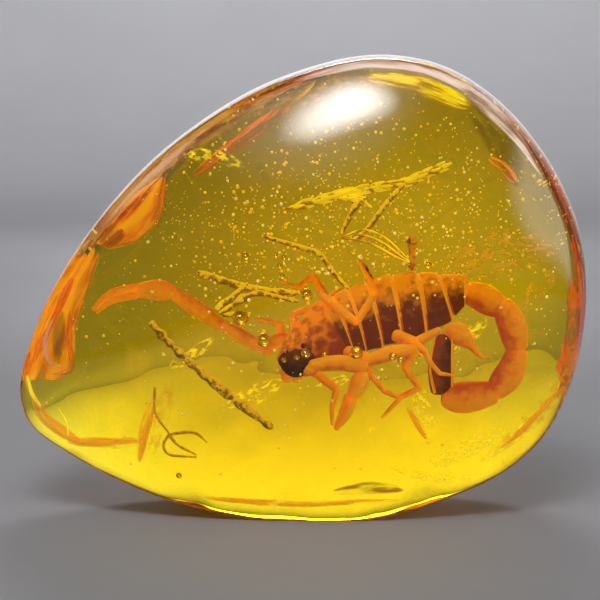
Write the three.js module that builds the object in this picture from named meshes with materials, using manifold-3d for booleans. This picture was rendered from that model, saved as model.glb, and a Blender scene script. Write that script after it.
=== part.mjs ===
// A polished resin piece with a teardrop outline, standing on its long lower edge.
// Millimetres, +Z up. The domed front looks along -Y, +X runs towards the round end.
// The origin lies in the middle of the piece's box, on the surface that it stands on.
import * as THREE from 'three';
import { mergeVertices } from 'three/addons/utils/BufferGeometryUtils.js';
import Module from 'manifold-3d';

const wasm = await Module();
wasm.setup();

// Driving dimensions.
const DEPTH = 29; // overall thickness, front to back
const FRONT_RISE = 7.5; // how far the front dome stands before its rim
const BACK_RISE = 6.5; // how far the flatter back stands behind its shoulder
const GIRDLE_Y = 0.5; // where the widest section lies
const RIM_INSET = 0.5; // the front rim lies this far inside the widest section
const RIM_INSET_ROUND_END = 2.6; // and this far at the round end, where the side wall shows
const SHOULDER_INSET = 1.2; // the back shoulder lies this far inside the widest section
const TIP_THICKNESS = 0.6; // the tip's thickness as a share of the round end's

// How the surface curves: 2 is a parabola, more is flatter in the middle.
const FRONT_FLATNESS = 2.3;
const BACK_FLATNESS = 3;
const WALL_FLATNESS = 2;
const ROUND_END_ANGLE = THREE.MathUtils.degToRad(12);
const ROUND_END_SPREAD = THREE.MathUtils.degToRad(38);
const THINNING = { from: 5, to: -35 }; // the stretch along x where it gets thinner

// Mesh fineness.
const SEGMENTS_ROUND = 88;
const STEPS_FRONT = 11;
const STEPS_WALL = 11;
const STEPS_BACK = 11;

// The widest outline before its lower edge is ground flat, as seen from the front, going round
// from the tip: x and z.
const OUTLINE = [
  [-35.0, 15.4],
  [-33.9, 11.2],
  [-29.6, 7.9],
  [-23.4, 4.5],
  [-16.5, 1.8],
  [-8.0, -0.2],
  [0.0, -0.8],
  [7.5, -0.6],
  [14.5, 1.0],
  [23.7, 4.7],
  [29.8, 9.6],
  [33.4, 16.4],
  [34.8, 23.6],
  [34.8, 29.6],
  [33.4, 36.8],
  [29.0, 44.9],
  [23.3, 51.1],
  [16.4, 55.0],
  [9.0, 56.1],
  [0.0, 54.3],
  [-9.0, 50.3],
  [-18.4, 43.4],
  [-25.0, 36.2],
  [-30.0, 28.8],
  [-33.2, 22.0],
];
const CENTRE = new THREE.Vector3(2, 0, 27);

/** The widest outline as points at equal steps along it, the first one not repeated. */
function outlinePoints() {
  const corners = OUTLINE.map(([x, z]) => new THREE.Vector3(x, 0, z));
  const curve = new THREE.CatmullRomCurve3(corners, true, 'centripetal');
  return curve.getSpacedPoints(SEGMENTS_ROUND).slice(0, SEGMENTS_ROUND);
}

/** How far the front rim lies inside the outline in this direction from the centre. */
function rimInset(direction) {
  const turned = Math.atan2(direction.z, direction.x) - ROUND_END_ANGLE;
  const away = Math.atan2(Math.sin(turned), Math.cos(turned));
  const share = Math.exp(-((away / ROUND_END_SPREAD) ** 2));
  return THREE.MathUtils.lerp(RIM_INSET, RIM_INSET_ROUND_END, share);
}

/** How far out and how far back a row of the section lies, counted from the front pole. */
function sectionPoint(row, radius, inset) {
  const rimY = FRONT_RISE - DEPTH / 2;
  const shoulderY = DEPTH / 2 - BACK_RISE;
  if (row <= STEPS_FRONT) {
    const share = row / STEPS_FRONT;
    return { out: share * (radius - inset), y: rimY - FRONT_RISE * (1 - share ** FRONT_FLATNESS) };
  }
  if (row < STEPS_FRONT + STEPS_WALL) {
    const y = THREE.MathUtils.lerp(rimY, shoulderY, (row - STEPS_FRONT) / STEPS_WALL);
    const [pulledIn, reach] =
      y < GIRDLE_Y ? [inset, GIRDLE_Y - rimY] : [SHOULDER_INSET, shoulderY - GIRDLE_Y];
    return { out: radius - pulledIn * (Math.abs(y - GIRDLE_Y) / reach) ** WALL_FLATNESS, y };
  }
  const share = 1 - (row - STEPS_FRONT - STEPS_WALL) / STEPS_BACK;
  const y = shoulderY + BACK_RISE * (1 - share ** BACK_FLATNESS);
  return { out: share * (radius - SHOULDER_INSET), y };
}

/** The piece's thickness at this x, as a share of the full thickness. */
function thicknessShare(x) {
  const share = THREE.MathUtils.clamp((x - THINNING.from) / (THINNING.to - THINNING.from), 0, 1);
  return THREE.MathUtils.lerp(1, TIP_THICKNESS, share ** 2);
}

/** The whole piece before its base is ground: a sphere whose vertices are moved onto the section. */
function polishedPiece() {
  const rows = STEPS_FRONT + STEPS_WALL + STEPS_BACK;
  const geometry = new THREE.SphereGeometry(1, SEGMENTS_ROUND, rows);
  const place = geometry.getAttribute('position');
  const outline = outlinePoints();
  for (let row = 0; row <= rows; row += 1) {
    for (let column = 0; column <= SEGMENTS_ROUND; column += 1) {
      const arm = outline[column % SEGMENTS_ROUND].clone().sub(CENTRE);
      const radius = arm.length();
      const direction = arm.divideScalar(radius);
      const { out, y } = sectionPoint(row, radius, rimInset(direction));
      const point = direction.clone().multiplyScalar(out).add(CENTRE);
      const depth = GIRDLE_Y + (y - GIRDLE_Y) * thicknessShare(point.x);
      place.setXYZ(row * (SEGMENTS_ROUND + 1) + column, point.x, depth, point.z);
    }
  }
  return geometry;
}

/** A closed geometry as a manifold solid. */
function solidFrom(geometry) {
  geometry.deleteAttribute('normal');
  geometry.deleteAttribute('uv');
  const merged = mergeVertices(geometry, 1e-5);
  const triVerts = Uint32Array.from(merged.index.array);
  const vertProperties = Float32Array.from(merged.getAttribute('position').array);
  return new wasm.Manifold(new wasm.Mesh({ numProp: 3, vertProperties, triVerts }));
}

/** A manifold solid as a geometry. */
function geometryFrom(solid) {
  const { vertProperties, triVerts } = solid.getMesh();
  const geometry = new THREE.BufferGeometry();
  geometry.setAttribute('position', new THREE.BufferAttribute(vertProperties, 3));
  geometry.setIndex(new THREE.BufferAttribute(triVerts, 1));
  geometry.computeVertexNormals();
  return geometry;
}

/** What the grinding takes off: everything below the surface that the piece stands on. */
function groundOff() {
  const size = 4 * DEPTH;
  const plate = new THREE.BoxGeometry(size, size, size);
  plate.translate(0, 0, -size / 2);
  return solidFrom(plate);
}

const resinBlock = new THREE.Mesh(
  geometryFrom(solidFrom(polishedPiece()).subtract(groundOff())),
  new THREE.MeshStandardMaterial({ color: 0xd09a10, roughness: 0.05, metalness: 0 }),
);
resinBlock.name = 'resin_block';

const part = new THREE.Group();
part.add(resinBlock);

export default part;
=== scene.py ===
"""A scorpion, plant debris and gas bubbles sealed in a polished, teardrop-shaped resin piece."""
import logging
import math
import random
from dataclasses import dataclass, field
from enum import Enum
from typing import Sequence

import bmesh
import bpy
from mathutils import Matrix, Vector, noise
from mathutils.bvhtree import BVHTree


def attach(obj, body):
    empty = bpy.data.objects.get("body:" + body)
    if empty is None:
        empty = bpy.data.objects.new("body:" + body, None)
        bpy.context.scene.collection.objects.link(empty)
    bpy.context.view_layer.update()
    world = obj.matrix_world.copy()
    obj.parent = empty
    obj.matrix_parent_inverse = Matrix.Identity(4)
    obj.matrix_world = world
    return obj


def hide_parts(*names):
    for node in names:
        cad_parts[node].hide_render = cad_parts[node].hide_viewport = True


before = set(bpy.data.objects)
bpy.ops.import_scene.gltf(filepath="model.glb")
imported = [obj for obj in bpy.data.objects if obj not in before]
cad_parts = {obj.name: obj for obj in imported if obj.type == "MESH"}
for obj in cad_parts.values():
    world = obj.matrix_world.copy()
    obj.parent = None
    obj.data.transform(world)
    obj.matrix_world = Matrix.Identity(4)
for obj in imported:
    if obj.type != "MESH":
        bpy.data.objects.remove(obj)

MM = 0.001
BODY = "root"
RESIN_NODE = "resin_block"
RESIN_IOR = 1.54
TOWARDS_VIEWER = Vector((0, -1, 0))
LOG = logging.getLogger("resin_piece")
Place = tuple[float, float]
Colour = tuple[float, float, float]
Socket = bpy.types.NodeSocket
Value = Socket | tuple | float
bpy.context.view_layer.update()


# ---------------------------------------------------------------- small helpers


def placed(name: str, data: bpy.types.ID) -> bpy.types.Object:
    """Adds an object with this data to the scene, at the origin."""
    piece = bpy.data.objects.new(name, data)
    bpy.context.scene.collection.objects.link(piece)
    return piece


def finished(
    name: str, bm: bmesh.types.BMesh, finish: bpy.types.Material, levels: int = 0
) -> bpy.types.Object:
    """Turns a bmesh into a piece of the scene that rides on the body.

    Args:
        name: the piece's name.
        bm: its mesh, which is freed.
        finish: its material.
        levels: levels of subdivision, for pieces that grew.

    Returns:
        The new object, at the origin.
    """
    mesh = bpy.data.meshes.new(name)
    bm.to_mesh(mesh)
    bm.free()
    mesh.materials.append(finish)
    piece = placed(name, mesh)
    if levels:
        smoothing = piece.modifiers.new("smoothing", "SUBSURF")
        smoothing.levels = smoothing.render_levels = levels
    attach(piece, BODY)
    LOG.info("%s: %d faces", name, len(mesh.polygons))
    return piece


def shade_smooth(bm: bmesh.types.BMesh) -> None:
    """Shades every face smooth."""
    for face in bm.faces:
        face.smooth = True


def lerp(a: float, b: float, share: float) -> float:
    """The value this share of the way from a to b."""
    return a + (b - a) * share


def through(values: Sequence, share: float) -> float | Vector:
    """A smooth curve through evenly numbered values.

    Args:
        values: numbers or vectors, at least two.
        share: how far along, from 0 to 1.

    Returns:
        The value there, of the same kind.
    """
    spot = min(max(share, 0.0), 1.0) * (len(values) - 1)
    k = min(int(spot), len(values) - 2)
    t = spot - k
    before = values[k - 1] if k else values[0]
    after = values[k + 2] if k + 2 < len(values) else values[-1]
    slope_a = (values[k + 1] - before) * 0.5
    slope_b = (after - values[k]) * 0.5
    return (
        values[k] * (2 * t**3 - 3 * t**2 + 1)
        + slope_a * (t**3 - 2 * t**2 + t)
        + values[k + 1] * (3 * t**2 - 2 * t**3)
        + slope_b * (t**3 - t**2)
    )


# ---------------------------------------------------------------- the resin piece


@dataclass(frozen=True)
class Outline:
    """The widest outline of the resin piece, seen from the front, going round from the tip."""

    corners: tuple[Place, ...] = (
        (-35.0, 15.4), (-33.9, 11.2), (-29.6, 7.9), (-23.4, 4.5), (-16.5, 1.8),
        (-8.0, -0.2), (0.0, -0.8), (7.5, -0.6), (14.5, 1.0), (23.7, 4.7),
        (29.8, 9.6), (33.4, 16.4), (34.8, 23.6), (34.8, 29.6), (33.4, 36.8),
        (29.0, 44.9), (23.3, 51.1), (16.4, 55.0), (9.0, 56.1), (0.0, 54.3),
        (-9.0, 50.3), (-18.4, 43.4), (-25.0, 36.2), (-30.0, 28.8), (-33.2, 22.0),
    )
    steps_per_span: int = 24

    def _span(self, index: int, share: float) -> Vector:
        """A point (x, z), in metres, of the centripetal curve from one corner to the next."""
        count = len(self.corners)
        p = [Vector(self.corners[(index + k) % count]) * MM for k in (-1, 0, 1, 2)]
        t = [0.0]
        for a, b in zip(p, p[1:]):
            t.append(t[-1] + (b - a).length ** 0.5)
        at = lerp(t[1], t[2], share)
        a = [p[k].lerp(p[k + 1], (at - t[k]) / (t[k + 1] - t[k])) for k in range(3)]
        b = [a[k].lerp(a[k + 1], (at - t[k]) / (t[k + 2] - t[k])) for k in range(2)]
        return b[0].lerp(b[1], (at - t[1]) / (t[2] - t[1]))

    def spaced(self, count: int) -> list[Vector]:
        """Points at equal steps along the closed outline, the first one not repeated."""
        fine = [
            self._span(index, step / self.steps_per_span)
            for index in range(len(self.corners))
            for step in range(self.steps_per_span)
        ]
        fine.append(fine[0])
        reach = [0.0]
        for a, b in zip(fine, fine[1:]):
            reach.append(reach[-1] + (b - a).length)
        points, k = [], 0
        for number in range(count):
            goal = reach[-1] * number / count
            while reach[k + 1] < goal:
                k += 1
            points.append(fine[k].lerp(fine[k + 1], (goal - reach[k]) / (reach[k + 1] - reach[k])))
        return points


@dataclass
class ResinPiece:
    """The polished piece: a fine mesh of the CAD solid's shape, with its rim rounded."""

    depth: float = 29 * MM
    front_rise: float = 7.5 * MM
    back_rise: float = 6.5 * MM
    girdle_y: float = 0.5 * MM
    rim_inset: float = 0.5 * MM
    rim_inset_round_end: float = 2.6 * MM
    shoulder_inset: float = 1.2 * MM
    tip_thickness: float = 0.6
    front_flatness: float = 2.3
    back_flatness: float = 3.0
    wall_flatness: float = 2.0
    round_end_angle: float = math.radians(12)
    round_end_spread: float = math.radians(38)
    thinning: tuple[float, float] = (5 * MM, -35 * MM)
    centre: Vector = field(default_factory=lambda: Vector((2, 27)) * MM)
    columns: int = 288
    front_rows: int = 70
    wall_rows: int = 44
    back_rows: int = 60
    rounding_passes: int = 10
    waviness: float = 0.12 * MM
    wave_length: float = 11 * MM
    ripple: float = 0.11 * MM
    ripple_length: float = 3.0 * MM
    ripple_below: float = 24 * MM

    def rim_inset_at(self, direction: Vector) -> float:
        """How far the front rim lies inside the outline in this direction from the centre."""
        turned = math.atan2(direction.y, direction.x) - self.round_end_angle
        away = math.atan2(math.sin(turned), math.cos(turned))
        share = math.exp(-((away / self.round_end_spread) ** 2))
        return lerp(self.rim_inset, self.rim_inset_round_end, share)

    def section(self, row: int, radius: float, inset: float) -> tuple[float, float]:
        """How far out and how far back a row lies, counted from the front pole.

        Args:
            row: the row's number, 0 at the front pole.
            radius: the outline's distance from the centre in this column.
            inset: how far the front rim lies inside the outline here.

        Returns:
            The distance from the centre line, and y.
        """
        rim_y = self.front_rise - self.depth / 2
        shoulder_y = self.depth / 2 - self.back_rise
        if row <= self.front_rows:
            share = row / self.front_rows
            return share * (radius - inset), rim_y - self.front_rise * (1 - share**self.front_flatness)
        if row < self.front_rows + self.wall_rows:
            y = lerp(rim_y, shoulder_y, (row - self.front_rows) / self.wall_rows)
            before = y < self.girdle_y
            pulled_in = inset if before else self.shoulder_inset
            reach = self.girdle_y - rim_y if before else shoulder_y - self.girdle_y
            return radius - pulled_in * (abs(y - self.girdle_y) / reach) ** self.wall_flatness, y
        share = 1 - (row - self.front_rows - self.wall_rows) / self.back_rows
        y = shoulder_y + self.back_rise * (1 - share**self.back_flatness)
        return share * (radius - self.shoulder_inset), y

    def thickness_share(self, x: float) -> float:
        """The piece's thickness at this x, as a share of the full thickness."""
        start, end = self.thinning
        share = min(max((x - start) / (end - start), 0.0), 1.0)
        return lerp(1, self.tip_thickness, share**2)

    def build(self, finish: bpy.types.Material) -> bpy.types.Object:
        """Makes the mesh from a sphere whose vertices are moved onto the section."""
        rows = self.front_rows + self.wall_rows + self.back_rows
        outline = Outline().spaced(self.columns)
        bm = bmesh.new()
        bmesh.ops.create_uvsphere(bm, u_segments=self.columns, v_segments=rows, radius=1)
        for vert in bm.verts:
            row = round(math.acos(max(-1.0, min(1.0, vert.co.z))) / math.pi * rows)
            column = round(math.atan2(vert.co.y, vert.co.x) / math.tau * self.columns) % self.columns
            arm = outline[column] - self.centre
            radius = arm.length
            direction = arm / radius
            out, y = self.section(row, radius, self.rim_inset_at(direction))
            place = self.centre + direction * out
            depth = self.girdle_y + (y - self.girdle_y) * self.thickness_share(place.x)
            vert.co = Vector((place.x, depth, place.y))
        for _ in range(self.rounding_passes):
            bmesh.ops.smooth_vert(
                bm, verts=bm.verts, factor=0.5, use_axis_x=True, use_axis_y=True, use_axis_z=True
            )
        bm.normal_update()
        for vert, move in [(vert, self._unevenness(vert.co)) for vert in bm.verts]:
            vert.co += vert.normal * move
        self._grind_base(bm)
        return finished("resin", bm, finish)

    def _unevenness(self, place: Vector) -> float:
        """How far the polished surface stands out: gentle waves, and ripples low on the back."""
        low = min(max(1 - place.z / self.ripple_below, 0.0), 1.0) ** 0.5
        behind = min(max((place.y + 1 * MM) / (6 * MM), 0.0), 1.0)
        wave = self.waviness * (1 + behind * low) * noise.noise(place / self.wave_length)
        return wave + self.ripple * low * behind * noise.noise(place / self.ripple_length)

    def _grind_base(self, bm: bmesh.types.BMesh) -> None:
        """Cuts the lower edge flat and closes the cut with one sharp-edged face."""
        geometry = bm.verts[:] + bm.edges[:] + bm.faces[:]
        bmesh.ops.bisect_plane(
            bm, geom=geometry, plane_co=(0, 0, 0), plane_no=(0, 0, 1), clear_inner=True
        )
        rim = [edge for edge in bm.edges if edge.is_boundary]
        bmesh.ops.contextual_create(bm, geom=rim)
        bmesh.ops.recalc_face_normals(bm, faces=bm.faces)
        for face in bm.faces:
            face.smooth = len(face.verts) <= 4
        for edge in rim:
            edge.smooth = False


class Sight:
    """Finds where a thing inside lies, so that it is seen at a given place through the curved front."""

    def __init__(self, resin: bpy.types.Object, eye: Vector, outline_y: float) -> None:
        """Keeps the resin's surface, the viewer's place and the depth where seen places are measured."""
        graph = bpy.context.evaluated_depsgraph_get()
        self.surface = BVHTree.FromObject(resin, graph)
        self.eye = eye
        self.outline_y = outline_y

    def at(self, x: float, z: float, y: float) -> Vector:
        """The point at depth y that is seen at (x, z).

        Args:
            x: where it is seen, in millimetres across the outline's plane.
            z: the same, upwards.
            y: its real depth, in millimetres.

        Returns:
            The point, in metres.
        """
        ray = (Vector((x * MM, self.outline_y, z * MM)) - self.eye).normalized()
        hit, normal, _, _ = self.surface.ray_cast(self.eye, ray)
        if hit is None:
            return Vector((x, y, z)) * MM
        facing = -ray.dot(normal)
        ratio = 1 / RESIN_IOR
        bent = ray * ratio + normal * (ratio * facing - (1 - ratio**2 * (1 - facing**2)) ** 0.5)
        return hit + bent * ((y * MM - hit.y) / bent.y)

    def path(self, *places: tuple[float, float, float]) -> list[Vector]:
        """Points for several (x, z, y) places."""
        return [self.at(*place) for place in places]

    def depth_inside(self, point: Vector) -> float:
        """How deep a point lies under the surface, negative outside."""
        near, normal, _, distance = self.surface.find_nearest(point)
        return distance if (near - point).dot(normal) > 0 else -distance

    def kept_inside(self, point: Vector, margin: float) -> Vector:
        """The point itself, or where it would lie this deep under the surface if it isn't."""
        if self.depth_inside(point) >= margin:
            return point
        near, normal, _, _ = self.surface.find_nearest(point)
        return near - normal * margin


# ---------------------------------------------------------------- finishes


class Nodes:
    """A node tree, with short calls to add and link nodes."""

    def __init__(self, tree: bpy.types.NodeTree) -> None:
        """Keeps the tree."""
        self.tree = tree

    def node(self, kind: str, **settings: object) -> bpy.types.Node:
        """Adds a node of this kind and sets its properties."""
        node = self.tree.nodes.new(kind)
        for key, value in settings.items():
            setattr(node, key, value)
        return node

    def feed(self, socket: Socket, value: Value) -> None:
        """Links an output to an input, or sets the input to a number, a colour or a vector."""
        if isinstance(value, Socket):
            self.tree.links.new(value, socket)
        elif isinstance(value, tuple) and len(value) < len(socket.default_value):
            socket.default_value = (*value, 1)
        else:
            socket.default_value = value

    def maths(self, operation: str, *values: Value) -> Socket:
        """Combines sockets or numbers in a Math node."""
        node = self.node("ShaderNodeMath", operation=operation)
        for socket, value in zip(node.inputs, values):
            self.feed(socket, value)
        return node.outputs[0]

    def clouds(self, place: Socket, scale: Value, detail: float) -> Socket:
        """Reads a noise texture at a place."""
        texture = self.node("ShaderNodeTexNoise")
        for name, value in (("Vector", place), ("Scale", scale), ("Detail", detail)):
            self.feed(texture.inputs[name], value)
        return texture.outputs["Fac"]

    def ranged(
        self, value: Socket, low: float, high: float, to_low: float = 0.0, to_high: float = 1.0
    ) -> Socket:
        """Maps a value's range from low to high smoothly onto another, and holds it beyond both ends."""
        node = self.node("ShaderNodeMapRange", interpolation_type="SMOOTHSTEP")
        limits = (("From Min", low), ("From Max", high), ("To Min", to_low), ("To Max", to_high))
        for name, number in (("Value", value), *limits):
            self.feed(node.inputs[name], number)
        return node.outputs["Result"]


def mottling() -> bpy.types.NodeTree:
    """The node group for patchy natural surfaces: broad patches and a fine grain, by size."""
    tree = bpy.data.node_groups.get("mottling")
    if tree is not None:
        return tree
    tree = bpy.data.node_groups.new("mottling", "ShaderNodeTree")
    g = Nodes(tree)
    parts = (("Patch Size", "Patches", 0.0001, 2.0), ("Grain Size", "Grain", 0.00001, 4.0))
    for size, result, smallest, _ in parts:
        socket = tree.interface.new_socket(size, in_out="INPUT", socket_type="NodeSocketFloat")
        socket.min_value, socket.max_value = smallest, 0.1
        tree.interface.new_socket(result, in_out="OUTPUT", socket_type="NodeSocketFloat")
    inside, outside = g.node("NodeGroupInput"), g.node("NodeGroupOutput")
    place = g.node("ShaderNodeTexCoord").outputs["Object"]
    for size, result, _, detail in parts:
        scale = g.maths("DIVIDE", 1.0, inside.outputs[size])
        g.feed(outside.inputs[result], g.clouds(place, scale, detail))
    return tree


class Graph(Nodes):
    """A material's node tree around its Principled shader."""

    def __init__(self, name: str) -> None:
        """Starts the material."""
        self.material = bpy.data.materials.new(name)
        self.material.use_nodes = True
        super().__init__(self.material.node_tree)
        self.shader = self.tree.nodes["Principled BSDF"]

    def set(self, **values: Value) -> None:
        """Sets or links the shader's sockets, with _ for a space in the name."""
        for name, value in values.items():
            self.feed(self.shader.inputs[name.replace("_", " ")], value)

    def paint(self, colour: Socket) -> None:
        """Gives the surface, and the painted glow that comes out of it, the same colour."""
        self.set(Base_Color=colour, Emission_Color=colour)

    def attribute(self, name: str) -> Socket:
        """Reads a number that the mesh carries."""
        return self.node("ShaderNodeAttribute", attribute_name=name).outputs["Fac"]

    def mottled(self, patch: float, grain: float) -> tuple[Socket, Socket]:
        """Places the mottling group with its sizes in metres, and returns its patches and its grain."""
        node = self.node("ShaderNodeGroup", node_tree=mottling())
        for name, size in (("Patch Size", patch), ("Grain Size", grain)):
            node.inputs[name].default_value = size
        return node.outputs["Patches"], node.outputs["Grain"]

    def mixed(self, factor: Value, first: Value, second: Value, blend: str = "MIX") -> Socket:
        """Mixes two colours: the first at a factor of 0, the second at 1."""
        node = self.node("ShaderNodeMix", data_type="RGBA", blend_type=blend)
        for number, value in ((0, factor), (6, first), (7, second)):
            self.feed(node.inputs[number], value)
        return node.outputs[2]

    def bump(self, height: Socket, strength: float, distance: float) -> None:
        """Feeds a height through a Bump node into the shader's normal."""
        node = self.node("ShaderNodeBump")
        for name, value in (("Strength", strength), ("Distance", distance), ("Height", height)):
            self.feed(node.inputs[name], value)
        self.set(Normal=node.outputs[0])


@dataclass(frozen=True)
class ResinFinish:
    """Clear yellow-amber resin: the colour comes from how far light travels inside."""

    kept_colour: Colour = (0.983, 0.921, 0.0)
    density: float = 290.0

    def material(self) -> bpy.types.Material:
        """Builds the material."""
        g = Graph("clear_resin")
        g.set(Roughness=0.0, IOR=RESIN_IOR, Transmission_Weight=1.0, Base_Color=(1, 1, 1))
        volume = g.node("ShaderNodeVolumeAbsorption")
        g.feed(volume.inputs["Color"], self.kept_colour)
        g.feed(volume.inputs["Density"], self.density)
        g.feed(g.tree.nodes["Material Output"].inputs["Volume"], volume.outputs[0])
        return g.material


@dataclass(frozen=True)
class Cuticle:
    """A scorpion's horny skin: slightly see-through, darker towards one side, and with a painted glow.

    Attributes:
        name: the material's name.
        light: the colour of the upper side.
        dark: the colour of the lower side; on limbs and tail it is painted shade.
        shade_from: how far up, from -1 to 1, the dark side starts to change.
        shade_to: how far up the light side starts.
        border: the colour of the far end.
        border_from: how far along, from 0 to 1, that end starts; over 1 for none.
        glow: how much light the skin scatters inside.
        roughness: the smooth parts' roughness.
        painted_glow: the strength of the skin's painted glow, emitted in its own colour.
        ragged: how far patches move the boundary between light and dark.
        patch: the patches' size in metres.
        grain: the grain's size in metres.
    """

    name: str
    light: Colour
    dark: Colour
    shade_from: float = -2.0
    shade_to: float = 2.0
    border: Colour = (0.9, 0.42, 0.05)
    border_from: float = 2.0
    glow: float = 0.35
    roughness: float = 0.35
    painted_glow: float = 0.36
    ragged: float = 0.25
    patch: float = 0.0011
    grain: float = 0.00025

    def material(self) -> bpy.types.Material:
        """Builds the material from the mesh's "across", -1 below to 1 above, and "along", 0 to 1."""
        g = Graph(self.name)
        patches, grain = g.mottled(self.patch, self.grain)
        shift = g.ranged(patches, 0.3, 0.7, -self.ragged, self.ragged)
        # Darker towards the lower side: on limbs and tail this is painted shade.
        height = g.maths("ADD", shift, g.attribute("across"))
        base = g.mixed(g.ranged(height, self.shade_from, self.shade_to), self.dark, self.light)
        blotched = g.mixed(g.ranged(patches, 0.4, 0.75, 0.0, 0.4), base, (0.5, 0.4, 0.3), "MULTIPLY")
        end = g.ranged(g.attribute("along"), self.border_from, self.border_from + 0.06)
        g.paint(g.mixed(end, blotched, self.border))
        g.set(Roughness=g.ranged(grain, 0.3, 0.7, self.roughness, self.roughness + 0.2))
        g.set(Subsurface_Weight=self.glow, Subsurface_Radius=(1.0, 0.4, 0.08), Subsurface_Scale=0.0012)
        g.set(Coat_Weight=0.08, Coat_Roughness=0.15, Specular_IOR_Level=0.2)
        # Painted glow: the skin emits light in its own colour.
        g.set(Emission_Strength=self.painted_glow)
        g.bump(grain, 0.6, 0.00018)
        return g.material


@dataclass(frozen=True)
class PlantFinish:
    """Dry plant matter with golden flecks where resin wetted it, painted highlights on its upper side, and a
    painted glow.
    """

    name: str
    dark: Colour
    light: Colour
    fleck: float = 0.55
    grain: float = 0.0005
    painted_glow: float = 0.25
    # painted_top_light paints a highlight on the upper side and shade below; tips paints shade at a scale's
    # root and light at its tip.
    painted_top_light: float = 0.1
    painted_tip_light: float = 0.0
    softness: float = 0.12

    def material(self) -> bpy.types.Material:
        """Builds the material: a painted highlight on a limb's upper side, and painted shade at its root with
        light towards its tip where "tips" says so.
        """
        g = Graph(self.name)
        patches, grain = g.mottled(self.grain * 2.5, self.grain)
        shade = grain
        # Painted light and shade: lighter on the upper side and towards the tip, darker below and at the
        # root.
        for attribute, strength in (("across", self.painted_top_light), ("along", self.painted_tip_light)):
            shade = g.maths("MULTIPLY_ADD", g.attribute(attribute), strength, shade)
        mask = g.ranged(shade, self.fleck - self.softness, self.fleck + self.softness)
        g.paint(g.mixed(mask, self.dark, self.light))
        # The emission is a painted glow in the plant's own colours.
        g.set(Roughness=g.ranged(patches, 0.3, 0.7, 0.35, 0.7), Emission_Strength=self.painted_glow)
        g.bump(grain, 0.8, 0.0003)
        return g.material


@dataclass(frozen=True)
class BubbleFinish:
    """A gas bubble's wall, seen from the resin: it throws light back, partly like a mirror, and glow gives it
    a painted glow.
    """

    name: str
    roughness: float
    mirror: float
    # A painted glow, emitted in the wall's colour.
    glow: float = 0.0
    clear: float = 0.0
    tint: Colour = (1.0, 0.94, 0.75)

    def material(self) -> bpy.types.Material:
        """Builds the material."""
        g = Graph(self.name)
        patches, _ = g.mottled(0.004, 0.0005)
        g.paint(g.mixed(g.ranged(patches, 0.35, 0.65), (1.0, 0.97, 0.7), self.tint))
        # Emission_Strength is the painted glow.
        g.set(Metallic=self.mirror, Roughness=self.roughness, Emission_Strength=self.glow)
        g.set(Transmission_Weight=self.clear, IOR=1.35)
        return g.material


@dataclass(frozen=True)
class FlowFinish:
    """A cloudy coloured layer in the resin, streaked along its length, with a painted glow; some layers paint
    reflected light, sheen and glints.

    Attributes:
        name: the material's name.
        light: the colour of the bright streaks.
        dark: the colour between them.
        density: how much of what lies behind is hidden where the layer is densest.
        glow: the strength of the layer's painted glow, emitted in its own colours.
        size: the streaks' width in metres.
        stretch: their length as a multiple of their width.
        gaps: how much of the layer is missing between the streaks, from 0 to 1.
        edge: the width of its soft edge, from 0, none, to 1, up to the middle.
    """

    name: str
    light: Colour
    dark: Colour
    density: float
    glow: float = 0.4
    size: float = 0.0008
    stretch: float = 7.0
    gaps: float = 0.3
    edge: float = 0.8

    def material(self) -> bpy.types.Material:
        """Builds the material from the mesh's "fade", 0 at the edges, and "along" and "across" in metres."""
        g = Graph(self.name)
        place = g.node("ShaderNodeCombineXYZ")
        g.feed(place.inputs["X"], g.maths("DIVIDE", g.attribute("along"), self.stretch))
        g.feed(place.inputs["Y"], g.attribute("across"))
        streak = g.clouds(place.outputs[0], 1 / self.size, 3.0)
        g.paint(g.mixed(g.ranged(streak, 0.38, 0.62), self.dark, self.light))
        ragged = g.maths("MULTIPLY", g.ranged(streak, 0.35, 0.65, 0.35, 1.65), g.attribute("fade"))
        dense = g.ranged(streak, 0.4, 0.6, self.density * (1 - self.gaps), self.density)
        g.set(Alpha=g.maths("MULTIPLY", dense, g.ranged(ragged, 0.0, self.edge)))
        # Emission_Strength is the painted glow.
        g.set(Roughness=0.5, Specular_IOR_Level=0.2, Emission_Strength=self.glow)
        return g.material


# ---------------------------------------------------------------- grown shapes


@dataclass(frozen=True)
class Ring:
    """One station of a grown shape: where its middle is, and its half sizes across and in depth."""

    at: Vector
    across: float
    depth: float


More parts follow.
